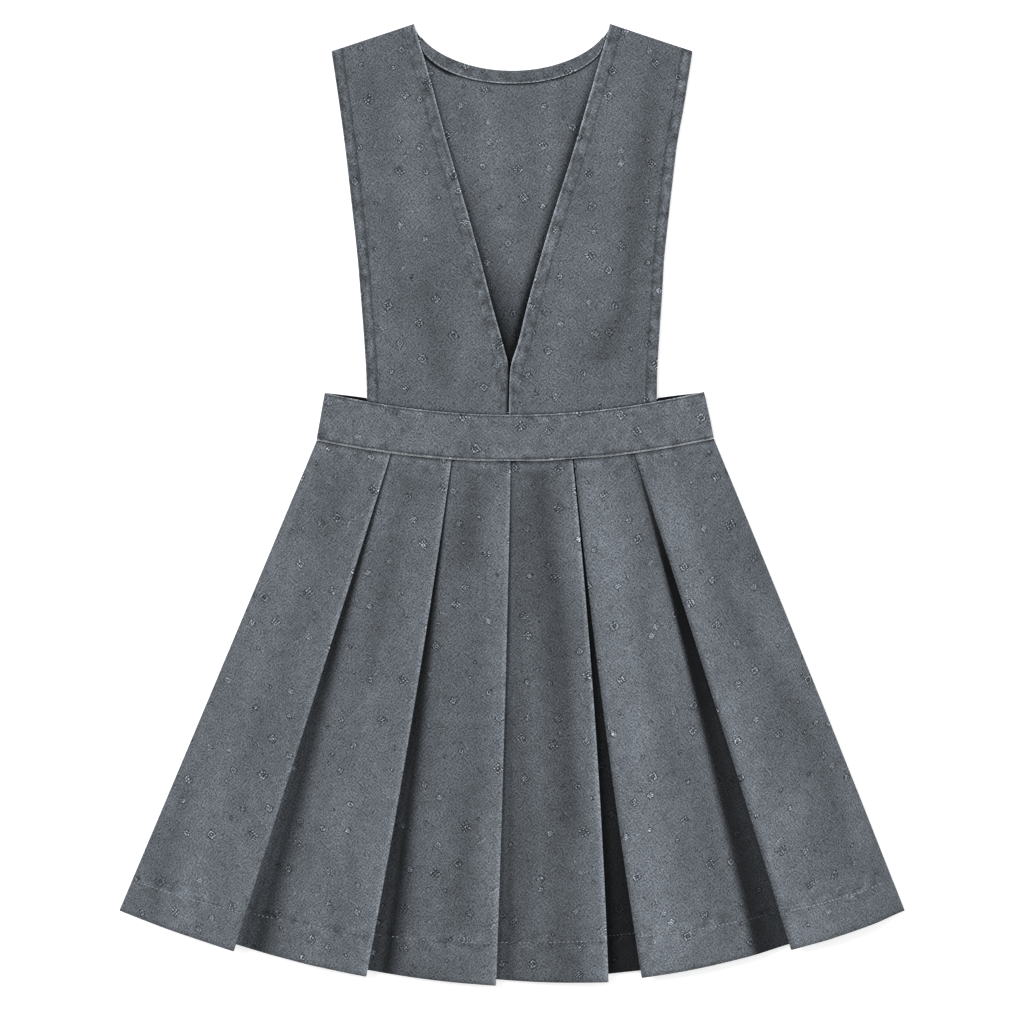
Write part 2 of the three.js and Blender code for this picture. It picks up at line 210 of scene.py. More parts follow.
BACK_CREASES = [
    {"line": [(-31, 306), (-27, 268)], "width": 5, "height": -0.5},
    {"line": [(-20, 306), (-14, 250), (-8, 205)], "width": 8, "height": 0.6},
    {"line": [(4, 304), (2, 276)], "width": 4, "height": -0.4},
    {"line": [(14, 305), (17, 240), (10, 190)], "width": 7, "height": -0.6},
    {"line": [(30, 308), (26, 262)], "width": 6, "height": 0.5},
    {"line": [(40, 310), (36, 282)], "width": 5, "height": -0.5},
    {"line": [(-40, 300), (-22, 225)], "width": 6, "height": -0.4},
]
SKIRT_CREASES = [
    {"line": [(-122, 20), (-168, -110), (-206, -220)], "width": 10, "height": -0.8},
    {"line": [(-150, -40), (-202, -180), (-238, -300)], "width": 13, "height": 0.9},
    {"line": [(-236, -210), (-262, -298)], "width": 8, "height": -0.7},
    {"line": [(-74, 14), (-98, -90), (-120, -190)], "width": 8, "height": -0.8},
    {"line": [(-104, -140), (-130, -260), (-146, -330)], "width": 11, "height": 0.8},
    {"line": [(-22, 22), (-32, -40)], "width": 9, "height": -0.9},
    {"line": [(-38, -60), (-50, -200), (-62, -330)], "width": 12, "height": 0.7},
    {"line": [(-22, -150), (-34, -300)], "width": 7, "height": -0.6},
    {"line": [(20, 26), (34, -76), (38, -143), (46, -227)], "width": 9, "height": -1.3},
    {"line": [(14, -90), (20, -240), (22, -340)], "width": 9, "height": 0.8},
    {"line": [(66, 10), (84, -90), (106, -250), (116, -330)], "width": 13, "height": 1.1},
    {"line": [(92, -70), (122, -210)], "width": 8, "height": -0.6},
    {"line": [(134, -190), (160, -320)], "width": 9, "height": -0.9},
    {"line": [(112, 24), (142, -60)], "width": 9, "height": 0.7},
    {"line": [(150, -60), (196, -131), (222, -173), (236, -215), (246, -262)], "width": 8, "height": -0.8},
    {"line": [(178, -70), (226, -160), (256, -250)], "width": 10, "height": 0.8},
    {"line": [(206, -220), (226, -310)], "width": 9, "height": 0.7},
]

PI = math.pi

# Painted light: how much lighter the cloth is painted for each millimetre that a crease stands up,
# and how much darker for each millimetre that it sinks
PAINTED_LIGHT_PER_MM = 0.2


def lerp(a, b, part):
    return a + (b - a) * part


def smooth(part):
    part = np.clip(part, 0, 1)
    return part * part * (3 - 2 * part)


def mound(away, width):
    """1 where away is 0, falling off softly over width on both sides."""
    return np.exp(-((away / width) ** 2))


def dipping(edge, x):
    return edge["middle_y"] + edge["rise"] * (x / edge["rise_at"]) ** 2


def hem_edge(x):
    return HEM["middle_y"] + HEM["rise"] * (x / HEM_HALF_WIDTH) ** 2


def neckline(x):
    roundness = np.clip(1 - (x / NECK_HALF_WIDTH) ** 2, 0, 1) ** NECKLINE_POWER
    return SHOULDER_TOP - BACK_NECK_DEPTH * roundness


def smooth_line(points, part):
    """A point on a smooth line through points, part of the way along them."""
    last = len(points) - 1
    place = min(max(part, 0), 1) * last
    k = min(int(place), last - 1)
    t = place - k
    p0, p1, p2, p3 = (np.array(points[min(max(n, 0), last)], float) for n in (k - 1, k, k + 1, k + 2))
    bend = 2 * p0 - 5 * p1 + 4 * p2 - p3
    return 0.5 * (2 * p1 + (p2 - p0) * t + bend * t * t + (3 * p1 - p0 - 3 * p2 + p3) * t**3)


def distance_to_line(x, y, line):
    """How far the points x, y are from a line of straight stretches."""
    nearest = np.full(np.shape(x), np.inf)
    for (ax, ay), (bx, by) in zip(line, line[1:]):
        dx, dy = bx - ax, by - ay
        part = np.clip(((x - ax) * dx + (y - ay) * dy) / (dx * dx + dy * dy), 0, 1)
        nearest = np.minimum(nearest, np.hypot(x - ax - part * dx, y - ay - part * dy))
    return nearest


def crease_heights(x, y, creases):
    total = np.zeros(np.shape(x))
    for crease in creases:
        away = distance_to_line(x, y, crease["line"])
        total += crease["height"] * mound(away, crease["width"])
    return total


def rumple(x, y, size, seed):
    """Uneven soft noise over the cloth, about from -1 to 1, with hollows about size across."""
    x, y = np.broadcast_arrays(x, y)
    places = zip(x.ravel() / size, y.ravel() / size)
    values = [noise.noise(Vector((a, b, seed))) for a, b in places]
    return np.array(values).reshape(x.shape) * 1.6


def half_turn(x, z, start, end, up, zone):
    """Points round half a turn of folded cloth, at the skirt's section."""
    steps = 7
    angles = np.radians(np.linspace(start, end, steps))
    return [
        {"x": x + LAYER / 2 * math.cos(a), "z": z + LAYER / 2 * math.sin(a), "up": up, "zone": zone}
        for a in angles
    ]


def fold_rise(points, share):
    """How a panel stands up between the last fold (share 0) and its own folded edge (share 1)."""
    if points == "right":
        return 0.24 * smooth(share / 0.3) + 0.76 * share**3
    return smooth(share / 0.3) - 0.55 * smooth((share - 0.62) / 0.38)


def fold_pointing_right(start, fold, level, settles, steps):
    """The section from a low start, up the panel, over the edge that points right and back under it."""
    climb_steps, crown_steps = steps
    nose_x = fold["x"] - fold["tuck"]
    clear_x = nose_x - TUCK_ROOM
    crest_x = fold["x"] - LAYER / 2 - CLOTH / 2
    crest_z = level["top"] + fold["lift"] * fold_rise(fold["points"], 1)
    climb = min(clear_x - start["x"], settles)
    path = []
    for part in np.linspace(0, 1, climb_steps, endpoint=False):
        x = start["x"] + climb * part
        z = lerp(start["z"], level["top"], smooth(part / fold["settled"]))
        up = lerp(start["up"], 0.7, part)
        path.append({"x": x, "z": z, "up": up, "zone": "panel"})
    for part in np.linspace(0, 1, crown_steps, endpoint=False):
        x = lerp(clear_x, crest_x, part)
        path.append({"x": x, "z": level["top"], "up": lerp(0.7, 1, part), "zone": "panel"})
    for point in path:
        share = (point["x"] - start["x"]) / (crest_x - start["x"])
        point["z"] += fold["lift"] * fold_rise(fold["points"], share)
    path += half_turn(crest_x, crest_z - LAYER / 2, 90, -90, 1, "crest")
    path += half_turn(nose_x, level["bottom"] + LAYER / 2, 90, 270, 0, "inside")
    return path


def skirt_section(folds, end, level, sides, settles, steps):
    """The whole line of the cloth across the skirt, at the waist (end 0) or at the hem (end 1)."""
    keys = ("waist", "hem")
    placed = [
        {
            **fold, "x": fold[keys[end]], "tuck": (WAIST_TUCK, fold["tuck"])[end],
            "lift": fold["lift"] * end, "settled": (0.22, 1)[end],
        }
        for fold in folds
    ]

    def low(k):
        if k < 0 or k >= len(placed):
            return {"x": sides[0 if k < 0 else 1], "z": level["side"], "up": 0.5}
        return {"x": placed[k]["x"], "z": level["bottom"], "up": 0}

    section = []
    for k, fold in enumerate(placed):
        if fold["points"] == "right":
            run = fold_pointing_right(low(k - 1), fold, level, settles, steps)
        else:
            after = low(k + 1)
            run = fold_pointing_right(
                {**after, "x": -after["x"]}, {**fold, "x": -fold["x"]}, level, settles, steps
            )
            run = [{**point, "x": -point["x"]} for point in reversed(run)]
        section += [{**point, "bow": fold["bow"], "ripple": fold["ripple"], "fold": k} for point in run]
    return section


def column(section, key):
    return np.array([point[key] for point in section], float)


def skirt_rows(count):
    """How far down each row of the skirt is, from 0 to 1, with close rows at the turned-up hem's step."""
    step = 1 - HEM_TURN_UP / SKIRT_LENGTH
    plain = np.linspace(0, 1, count)
    close = step + np.array([-1.2, -0.4, 0.4, 1.2]) / SKIRT_LENGTH
    kept = plain[np.abs(plain - step) > 2.4 / SKIRT_LENGTH]
    return np.sort(np.concatenate([kept, close]))


def skirt_sheet(folds, level, inset, settles, steps, count):
    """The middle of one side of the skirt, as arrays of rows from the waist to the hem."""
    waist_sides = (BAND_LOW["left"] + inset, BAND_LOW["right"] - inset)
    hem_sides = (-HEM_HALF_WIDTH + inset, HEM_HALF_WIDTH - inset)
    waist = skirt_section(folds, 0, level, waist_sides, settles, steps)
    floor = skirt_section(folds, 1, level, hem_sides, settles, steps)
    down = skirt_rows(count)[:, None]
    top_x, low_x = column(waist, "x"), column(floor, "x")
    up, bow, ripple, fold = (column(floor, key) for key in ("up", "bow", "ripple", "fold"))
    x = lerp(top_x, low_x, down) + bow * 4 * down * (1 - down)
    top_y = dipping(BAND_LOW, top_x) - SEAM_GAP
    low_y = hem_edge(low_x) + level["hem_dips"] * (1 - 2 * up) + level["hem_above"]
    y = lerp(top_y, low_y, down)
    z = lerp(column(waist, "z"), column(floor, "z"), down)
    z += ripple * up * down * (1 + np.sin(2 * PI * (down * (1.3 + 0.25 * fold) + 0.31 * fold)))
    panel = np.array([point["zone"] == "panel" for point in floor], float)
    crest = np.array([point["zone"] == "crest" for point in floor], float)
    return {"x": x, "y": y, "z": z, "down": down, "panel": panel, "crest": crest, "up": up, "fold": fold}


def cut_across(sheet):
    """How far each point is across the cut cloth from its middle column, in metres."""
    step = np.hypot(np.diff(sheet["x"], axis=1), np.diff(sheet["z"], axis=1))
    run = np.concatenate([np.zeros((len(step), 1)), np.cumsum(step, axis=1)], axis=1)
    middle = run[:, run.shape[1] // 2][:, None]
    return (run - middle) * MM


def runs_of(flags):
    """The first and last index of each stretch of true flags."""
    edges = np.flatnonzero(np.diff(np.concatenate([[0], flags.astype(int), [0]])))
    return list(zip(edges[::2], edges[1::2] - 1))


def front_skirt_sheet():
    level = {
        "bottom": FRONT_BOTTOM, "top": FRONT_TOP, "side": SECOND_LAYER,
        "hem_dips": HEM["dip"], "hem_above": 0,
    }
    sheet = skirt_sheet(FRONT_FOLDS, level, 0, math.inf, (26, 9), 104)
    x, y, down = sheet["x"], sheet["y"], sheet["down"]
    run = cut_across(sheet) / MM
    hidden = sheet["panel"] < 0.5
    free = np.ones(x.shape)
    for first, last in runs_of(hidden):
        free = np.minimum(free, smooth(np.abs(run - run[:, first : first + 1]) / 7))
        free = np.minimum(free, smooth(np.abs(run - run[:, last : last + 1]) / 7))
    free = np.where(hidden, 0, free)
    creases = 1.5 * crease_heights(x, y, SKIRT_CREASES) + crease_heights(x, y, drag_creases())
    soft = creases + 0.45 * rumple(x, y, 46, 3.1) + 0.16 * rumple(x, y, 15, 8.4)
    from_band, from_hem = down * SKIRT_LENGTH, (1 - down) * SKIRT_LENGTH
    turned = smooth((HEM_TURN_UP - from_hem) / 1.6 + 0.5)
    rise = soft * free * smooth(down / 0.05) + 0.28 * turned * sheet["panel"]
    lowest = np.where(sheet["up"] > 0.66, sheet["z"] - 0.05, FRONT_BOTTOM - 0.6)
    sheet["z"] = np.maximum(sheet["z"] + rise, np.minimum(lowest, sheet["z"]))
    ones = np.ones(x.shape)
    # Painted light along the folds (painted shade where below 0), lighter raised creases and darker hollows,
    # and lighter cloth just below the waistband
    sheet["painted_light"] = pleat_painted_light(sheet, run) + PAINTED_LIGHT_PER_MM * creases * free + 0.8 * mound(from_band, 3.4)
    # Painted shade: thin dark lines along the hem and under the waistband, and the shade in the pleats
    edges = 0.35 * mound(from_hem, 0.9) + 0.9 * mound(from_band, 1.15)
    sheet["deep"] = np.maximum(pleat_shade(sheet), edges)
    hem_seam = 0.5 * mound(from_hem - HEM_TURN_UP, 5)
    sheet["seam"] = (0.25 + hem_seam + 0.4 * mound(from_band, 12)) * ones
    sheet["sewn"] = 0.35 * mound(from_hem - HEM_TURN_UP, 0.9) * ones
    sheet["cut_x"] = run * MM
    sheet["cut_y"] = y * MM
    return sheet


def crest_columns(sheet):
    """The first, middle and last column of each folded edge."""
    return [(first, (first + last) // 2, last) for first, last in runs_of(sheet["crest"] > 0)]


def pleat_painted_light(sheet, run):
    """Painted light along the front's folded edges and panels, painted shade where below 0."""
    painted_light = np.zeros(sheet["x"].shape)
    down = sheet["down"]
    for k, (shade, (_, edge, _)) in enumerate(zip(FRONT_SHADES, crest_columns(sheet))):
        past = sheet["x"] - sheet["x"][:, edge : edge + 1]
        under = lerp(*shade["under"], smooth(down / 0.5)) * mound(past, 4.2)
        painted_light += under * (past > -1) * (sheet["fold"] == k + 1)
        away = np.abs(run - run[:, edge : edge + 1])
        width = 0.95 if shade["line"][0] > 0 else 2.0
        line = lerp(*shade["line"], down) * mound(away, width)
        near, far = shade["panel"]
        panel = lerp(far, near, mound(away, 20)) * (sheet["panel"] > 0.5)
        painted_light += (line + panel * smooth(down * 4 + 0.3)) * (sheet["fold"] == k)
    return painted_light


def pleat_shade(sheet):
    """Painted shade: darkest inside the pleats, less away from the folded edge that covers it."""
    shape = sheet["x"].shape
    total = np.where(sheet["panel"] + sheet["crest"] > 0.5, 0.0, 0.93) * np.ones(shape)
    down = sheet["down"]
    low = smooth((down - 0.25) / 0.6)
    for fold, shade, (first, edge, last) in zip(FRONT_FOLDS, FRONT_SHADES, crest_columns(sheet)):
        side = 1 if fold["points"] == "right" else -1
        away = side * (sheet["x"] - sheet["x"][:, edge : edge + 1])
        part = away / (1 + shade["width"] * down ** shade["grows"])
        dark = lerp(lerp(*shade["edge"], low), lerp(*shade["far"], low), smooth(part / 0.75))
        kept = (1 - smooth((part - 1) / shade["blur"] + 0.5)) * (0.75 + 0.25 * smooth(down / 0.25))
        kept = kept * (away > -8)
        beyond = np.arange(shape[1]) > last if side > 0 else np.arange(shape[1]) < first
        total = np.maximum(total, dark * kept * beyond * (sheet["panel"] > 0.5))
    return total


def drag_creases():
    """Short slanting creases beside the folded edges, where the cloth was pressed and has moved since."""
    rng = random.Random(41)
    creases = []
    for fold in FRONT_FOLDS:
        inward = -1 if fold["points"] == "right" else 1
        for _ in range(15):
            part = rng.uniform(0.04, 0.96)
            x = lerp(fold["waist"], fold["hem"], part) + inward * rng.uniform(2, 26)
            y = lerp(dipping(BAND_LOW, fold["waist"]), hem_edge(fold["hem"]), part)
            length = rng.uniform(9, 26)
            angle = math.radians(rng.uniform(35, 75)) * inward
            end = (x + length * math.sin(angle), y - length * math.cos(angle))
            height = rng.uniform(0.15, 0.42) * rng.choice((-1, 1))
            creases.append({"line": [(x, y), end], "width": rng.uniform(2.4, 4.2), "height": height})
    return creases


def back_skirt_sheet():
    level = {"bottom": 0, "top": STACK, "side": STACK, "hem_dips": 0, "hem_above": HEM["dip"] + 0.5}
    sheet = skirt_sheet(BACK_FOLDS, level, BACK_INSET, 16, (10, 3), 60)
    sheet["z"] = ON_TABLE + STACK - sheet["z"]
    ones = np.ones(sheet["x"].shape)
    # Painted highlight along the folded edges, and painted shade on the cloth inside the pleats
    sheet["painted_light"] = sheet["crest"] * ones * 0.8
    sheet["deep"] = np.where(sheet["panel"] + sheet["crest"] > 0.5, 0.0, 0.8) * ones
    from_turn = (1 - sheet["down"]) * SKIRT_LENGTH - HEM_TURN_UP
    sheet["seam"] = (0.25 + 0.5 * mound(from_turn, 5)) * ones
    sheet["sewn"] = 0.5 * mound(from_turn, 0.9) * ones
    sheet["cut_x"] = cut_across(sheet) + 1.7
    sheet["cut_y"] = sheet["y"] * MM
    return sheet


def front_stations(width, count):
    """Where the columns stand across a front, close together at the step of each turned edge."""
    steps = [0, 0.5, 1.2, 2.5, 4, 5.4, ARMHOLE_HEM - 0.5, ARMHOLE_HEM + 0.1, ARMHOLE_HEM + 0.7]
    ends = [width - NECK_HEM - 0.7, width - NECK_HEM - 0.1, width - NECK_HEM + 0.5]
    ends += [width - d for d in (7.4, 5.6, 4, 2.5, 1.2, 0.5, 0)]
    inner = np.linspace(ARMHOLE_HEM + 0.7, width - NECK_HEM - 0.7, count + 2)[1:-1]
    return np.array(steps + list(inner) + ends)


def front_sheet(edges, seed, slit_painted_light, slit_shade):
    """The middle of one bodice front, from the shoulder down to the waistband."""
    rows = []
    arm_line = [row["arm"] for row in edges]
    neck_line = [row["neck"] for row in edges]
    for down in np.linspace(0, 1, 150):
        arm = smooth_line(arm_line, down)
        neck = smooth_line(neck_line, down)
        width = float(np.hypot(*(neck - arm)))
        station = front_stations(width, 34)
        across = station / width
        x = lerp(arm[0], neck[0], across)
        chord = lerp(arm_line[-1][1], neck_line[-1][1], across)
        y = lerp(arm[1], neck[1], across)
        y = y + down**4 * (dipping(BAND_TOP, x) + SEAM_GAP - chord)
        rows.append((x, y, across, np.full(x.shape, down), station, width - station))
    x, y, across, down, from_arm, from_neck = (np.array(part) for part in zip(*rows))
    waist = lerp(BAND_MIDDLE["top_edge"] - 0.6, SECOND_LAYER + 1, (np.abs(x) / SHOULDER_HALF_WIDTH) ** 2)
    z = lerp(SECOND_LAYER, waist, smooth((down - 0.4) / 0.6))
    inside = np.sin(PI * across) * np.sin(PI * down)
    creases = 1.5 * crease_heights(x, y, FRONT_CREASES) * np.clip(inside * 2.2, 0, 1)
    soft = 4.2 * inside + creases
    soft += 0.7 * rumple(x, y, 38, seed) * np.clip(inside * 2, 0, 1)
    soft += 0.18 * rumple(x, y, 13, seed + 5) * np.clip(inside * 3, 0, 1)
    neck_lift = 5.0 * mound(from_neck, 34) * np.sin(PI * np.clip(down * 1.06, 0, 1))
    arm_hem = smooth((ARMHOLE_HEM - from_arm) / 0.9 + 0.5)
    neck_hem = smooth((NECK_HEM - from_neck) / 0.9 + 0.5)
    z = z + np.maximum(soft, -0.2) + neck_lift + 0.5 * np.maximum(arm_hem, neck_hem)
    arm_pucker = pucker(y, seed, 7.3) * mound(from_arm - 4.2, 3.6)
    neck_pucker = pucker(y, seed + 2, 8.1) * mound(from_neck - 6, 4.2)
    z = z + (0.27 * arm_pucker + 0.18 * neck_pucker) * smooth(down / 0.04)
    z = z - 0.22 * mound(from_arm - ARMHOLE_HEM + 0.6, 0.8) - 0.16 * mound(from_neck - NECK_HEM + 0.6, 0.8)
    # Painted highlight along the V's edge with a thin painted shade just inside it, less of it by the slit
    v_painted_light = 2.6 * mound(from_neck, 0.95) - 0.4 * mound(from_neck - 2.3, 0.7)
    slit = smooth((SLIT_TOP - y) / 10)
    v_painted_light = v_painted_light * lerp(1, slit_painted_light, slit)
    # Painted highlight on the armhole's edge with painted shade just inside it, and the hem lighter on the
    # right front and darker on the left
    arm_painted_light = 0.2 * mound(from_arm, 0.6) - 0.6 * mound(from_arm - 1.5, 0.7)
    arm_painted_light += np.sign(x) * 0.2 * mound(from_arm - 3.2, 2.8)
    seam = mound(from_arm - 4, 4.5) + 0.75 * mound(from_neck - 5, 5.5)
    arm_sewn = 0.8 * mound(from_arm - ARMHOLE_HEM + 0.3, 0.6)
    neck_sewn = 0.3 * mound(from_neck - NECK_HEM + 0.3, 0.6) * (1 - slit)
    return {
        "x": x, "y": y, "z": z,
        # Painted light along the edges and on raised creases; painted shade in a thin line above the
        # waistband and in the slit under the V
        "painted_light": (v_painted_light + arm_painted_light) * smooth(down / 0.02) + PAINTED_LIGHT_PER_MM * creases,
        "deep": np.maximum(
            0.5 * mound(dipping(BAND_TOP, x) - y, 1.5), slit_shade * slit * mound(from_neck, 1.3)
        ),
        "seam": np.clip(seam + 0.22, 0, 1),
        "sewn": np.maximum(arm_sewn, neck_sewn),
        "cut_x": x * MM + seed,
        "cut_y": y * MM,
    }


def pucker(along, seed, pitch):
    """Uneven small waves along a stitched edge."""
    wander = np.array([noise.noise(Vector((a / 21, seed, 0))) for a in np.ravel(along)])
    return np.sin(2 * PI * along / pitch + 7 * wander.reshape(np.shape(along)))


def armhole_x(y):
    """The back's armhole edge at a height, inside the front's."""
    arms = [(left["arm"], right["arm"]) for left, right in zip(LEFT_FRONT, RIGHT_FRONT)]
    heights = [left[1] for left, _ in reversed(arms)]
    widths = [(right[0] - left[0]) / 2 for left, right in reversed(arms)]
    slope = (widths[-1] - widths[-2]) / (heights[-1] - heights[-2])
    above = np.clip(y - heights[-1], 0, None) * slope
    return np.interp(y, heights, widths) + above - ARMHOLE_INSET


def back_sheet():
    corner = SHOULDER_TOP - SHOULDER_SLOPE
    neck_share = NECK_HALF_WIDTH / float(armhole_x(SHOULDER_TOP))
    shoulder = np.linspace(1, neck_share, 12)
    shoulder_y = lerp(corner, SHOULDER_TOP, (1 - shoulder) / (1 - neck_share))
    round_x = NECK_HALF_WIDTH * np.sin(np.linspace(PI / 2, 0, 34)[1:])
    round_y = neckline(round_x)
    share = np.concatenate([shoulder, round_x / armhole_x(round_y)])
    top = np.concatenate([shoulder_y, round_y])
    share = np.concatenate([-share, share[::-1][1:]])
    top = np.concatenate([top, top[::-1][1:]])
    bottom = dipping(BAND_TOP, share * BACK_WAIST_HALF_WIDTH) + BACK_BAND_SHOWS + SEAM_GAP
    down = np.concatenate([np.linspace(0, 0.075, 36), np.linspace(0.083, 1, 86)])[:, None]
    y = lerp(top, bottom, down)
    x = share * armhole_x(y)
    inside = np.clip(1 - np.abs(share), 0, 1) * np.sin(PI * np.clip(down, 0, 1))
    creases = 1.5 * crease_heights(x, y, BACK_CREASES) * np.clip(inside * 3, 0, 1)
    z = ON_TABLE + np.clip(0.6 + 0.5 * rumple(x, y, 44, 6.6) + creases, 0, 3) * np.clip(inside * 3, 0, 1)
    return {
        "x": x, "y": y, "z": z,
        # Painted light: the whole back a little lighter, a highlight along its top edge, and lighter raised
        # creases and darker hollows
        "painted_light": 0.12 + 0.3 * mound(top - y, 1.2) + PAINTED_LIGHT_PER_MM * creases,
        "deep": back_shade(x, y),
        "seam": 0.22 + 0.6 * mound(np.abs(x) - armhole_x(y) + 4, 4),
        "sewn": 0 * x,
        "cut_x": x * MM + 3.3,
        "cut_y": y * MM,
    }


def back_shade(x, y):
    """Painted shadows inside the back: beside the V's edges, under the facing, deeper near the V's foot."""
    left = distance_to_line(x, y, [row["neck"] for row in LEFT_FRONT])
    right = distance_to_line(x, y, [row["neck"] for row in RIGHT_FRONT])
    widens = smooth((300 - y) / 150)
    high = smooth((y - 270) / 45)
    left_v_shadow = (0.08 + 0.4 * widens + 0.18 * high) * mound(left, lerp(8, 14, widens))
    right_v_shadow = lerp(0.86, 0.58, high) * mound(right, lerp(5.5, 3.8, high))
    near = np.maximum(left_v_shadow, right_v_shadow)
    deep_v = smooth((200 - y) / 95)
    corner = smooth((-x - 34) / 16)
    below = np.clip(distance_to_line(x, y, facing_edge()) - lerp(0.5, 2.0, corner), 0, None)
    facing_shadow = lerp(0.85, 0.95, corner) * mound(below, 1.3)
    return np.clip(np.maximum(near, facing_shadow) + 0.46 * deep_v, 0, 0.97)


def facing_edge():
    right = [row["edge"] for row in FACING]
    return [(-x, y) for x, y in reversed(right[1:])] + right


def facing_sheet():
    half = [{"neck": (row["neck_x"], float(neckline(row["neck_x"]))), "edge": row["edge"]} for row in FACING]
    other = [{key: (-row[key][0], row[key][1]) for key in row} for row in reversed(half[1:])]
    rows = other + half
    parts = np.linspace(0, 1, 120)
    neck = np.array([smooth_line([row["neck"] for row in rows], part) for part in parts])
    edge = np.array([smooth_line([row["edge"] for row in rows], part) for part in parts])
    down = np.concatenate([np.linspace(0, 0.88, 9), [0.92, 0.95, 0.975, 1]])[:, None]
    x = lerp(neck[:, 0], edge[:, 0], down)
    y = lerp(neck[:, 1], edge[:, 1], down)
    crown = 0.5 * (1 - (2 * down - 1) ** 4)
    z = SECOND_LAYER + crown + 0.12 * rumple(x, y, 9, 2.2) * crown
    return {
        "x": x, "y": y, "z": z,
        # Painted highlight along the facing's lower edge, and a little painted shade over all of it
        "painted_light": 3.3 * mound((1 - down) * 9 - 0.35, 0.38) + 0 * x,
        "deep": 0.08 + 0 * x,
        "seam": 0.6 + 0 * x,
        "sewn": 0 * x,
        "cut_x": x * MM + 4.4,
        "cut_y": y * MM,
    }


def band_sheet(inset, top_shows, seed, rows, edge_painted_light, shaded_top):
    """The middle of one side of the waistband, flat on the table, from its top edge to its bottom edge."""
    across = np.linspace(0, 1, 170)
    close = np.array([0, 0.3, 0.6, 0.9, 1.25, 1.6, 1.95, 2.4]) / WAISTBAND_DEPTH
    first = 3.1 / WAISTBAND_DEPTH
    down = np.concatenate([close, np.linspace(first, 1 - first, rows), 1 - close[::-1]])[:, None]
    top_x = lerp(BAND_TOP["left"] + inset, BAND_TOP["right"] - inset, across)
    low_x = lerp(BAND_LOW["left"] + inset, BAND_LOW["right"] - inset, across)
    x = lerp(top_x, low_x, down)
    beyond = np.clip((np.abs(top_x) - BODICE_WAIST_HALF_WIDTH) / BAND_PAST_BODICE, 0, 1)
    shows = np.where(beyond > 0, top_shows * 1.5 * (1 - beyond**1.5), top_shows)
    y = lerp(dipping(BAND_TOP, top_x) + shows, dipping(BAND_LOW, low_x), down)
    from_edge = np.minimum(down, 1 - down) * WAISTBAND_DEPTH
    return {
        "x": x, "y": y, "z": BAND / 2 + 0 * x, "down": down, "from_edge": from_edge,
        # Painted light: the band a little lighter, with highlights along its edges growing to its right;
        # painted shadow along the back band's top, where it shows above the front band
        "painted_light": 0.12 + edge_painted_light * (1 + 0.3 * x / BAND_LOW["right"]) * mound(from_edge, 0.5),
        "deep": shaded_top * smooth(1.5 - down * WAISTBAND_DEPTH / 3) + 0 * x,
        "seam": 0.3 + 0.6 * mound(from_edge - 2, 4.5) + 0 * x,
        "sewn": mound(from_edge - 1.6, 0.6) + 0 * x,
        "cut_x": x * MM + seed,
        "cut_y": y * MM,
    }


def front_band_sheet():
    """The front of the waistband, raised by the layers that are sewn into it."""
    seed = 6.2
    sheet = band_sheet(inset=0, top_shows=0, seed=seed, rows=30, edge_painted_light=2.3, shaded_top=0)
    x, down, from_edge = sheet["x"], sheet["down"], sheet["from_edge"]
    middle = lerp(BAND_MIDDLE["top_edge"], BAND_MIDDLE["low_edge"], down)
    share = np.clip((np.abs(x) / BAND_LOW["rise_at"]) ** 8, 0, 1)
    z = lerp(middle, BAND_MIDDLE["side"], share)
    z = z + 0.5 * smooth(from_edge / 3.5) - 0.22 * mound(from_edge - 1.6, 0.7)
    z = z + 0.22 * rumple(x, down * WAISTBAND_DEPTH, 17, seed) * smooth(from_edge / 5)
    sheet["z"] = z + 0.09 * pucker(x, seed, 6.4) * mound(from_edge - 2.5, 2.5)
    return sheet


def lay_cloth(name, sheet, thickness, material):
    """Makes a piece of cloth from the arrays of its middle: a grid put in place and given its thickness."""
    rows, columns = sheet["x"].shape
    bm = bmesh.new()
    bmesh.ops.create_grid(bm, x_segments=columns - 1, y_segments=rows - 1, size=0.5)
    layers = {key: bm.verts.layers.float.new(key) for key in ("painted_light", "deep", "seam", "sewn")}
    reach = max(vert.co.x for vert in bm.verts)
    cells = {}
    for vert in bm.verts:
        cell = (
            round((0.5 - vert.co.y / reach / 2) * (rows - 1)),
            round((0.5 + vert.co.x / reach / 2) * (columns - 1)),
        )
        cells[vert] = cell
        vert.co = Vector((sheet["x"][cell], sheet["y"][cell], sheet["z"][cell])) * MM
        for key, layer in layers.items():
            vert[layer] = sheet[key][cell]
    cut = bm.loops.layers.uv.new("cut")
    for face in bm.faces:
        face.smooth = True
        for loop in face.loops:
            cell = cells[loop.vert]
            loop[cut].uv = (sheet["cut_x"][cell], sheet["cut_y"][cell])
    piece = add_piece(name, bm, material)
    wall = piece.modifiers.new("thickness", "SOLIDIFY")
    wall.thickness = thickness * MM
    wall.offset = 0
    wall.use_even_offset = True
    rim = piece.modifiers.new("soft rim", "BEVEL")
    rim.limit_method = "ANGLE"
    rim.angle_limit = math.radians(62)
    rim.width = thickness * 0.36 * MM
    rim.segments = 2
    return piece


def add_piece(name, bm, material):
    mesh = bpy.data.meshes.new(name)
    bm.to_mesh(mesh)
    bm.free()
    mesh.materials.append(material)
    piece = bpy.data.objects.new(name, mesh)
    bpy.context.scene.collection.objects.link(piece)
    return piece


